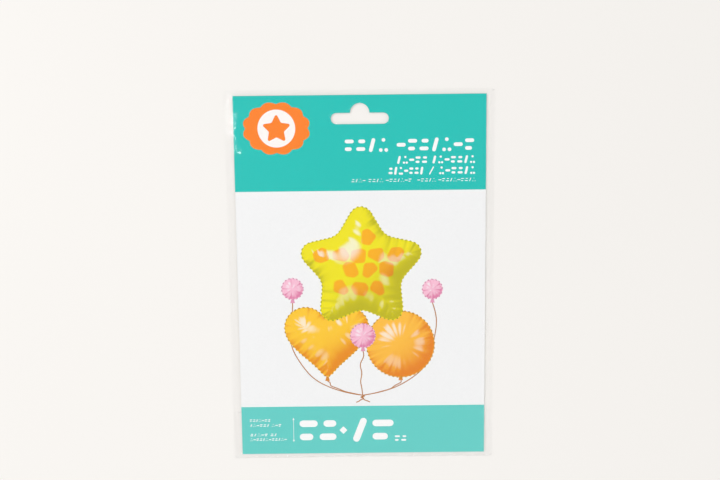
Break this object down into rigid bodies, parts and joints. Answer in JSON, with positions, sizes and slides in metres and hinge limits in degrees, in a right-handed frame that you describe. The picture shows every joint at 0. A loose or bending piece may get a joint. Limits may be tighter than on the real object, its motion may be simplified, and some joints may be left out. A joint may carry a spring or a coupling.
{
  "type": "hanging retail pack with printed card in clear bag",
  "caption": "Flat retail pack: a printed card with teal header and footer bands in a clear film bag, punched with a hang slot and closed by a glued flap on its back.",
  "frame": {"origin": "under the middle of the bag, on the surface that the pack lies on", "axes": "+Z out of the printed side, +Y towards the end with the hang slot, +X across the pack to the right as the printed side is read"},
  "size_m": [0.16, 0.226, 0.0012],
  "materials": {
    "printed_board": "coated white board with offset print",
    "clear_film": "clear glossy polypropylene film"
  },
  "bodies": {
    "root": {"printed_card": "printed_board", "clear_bag": "clear_film"}
  },
  "joints": []
}
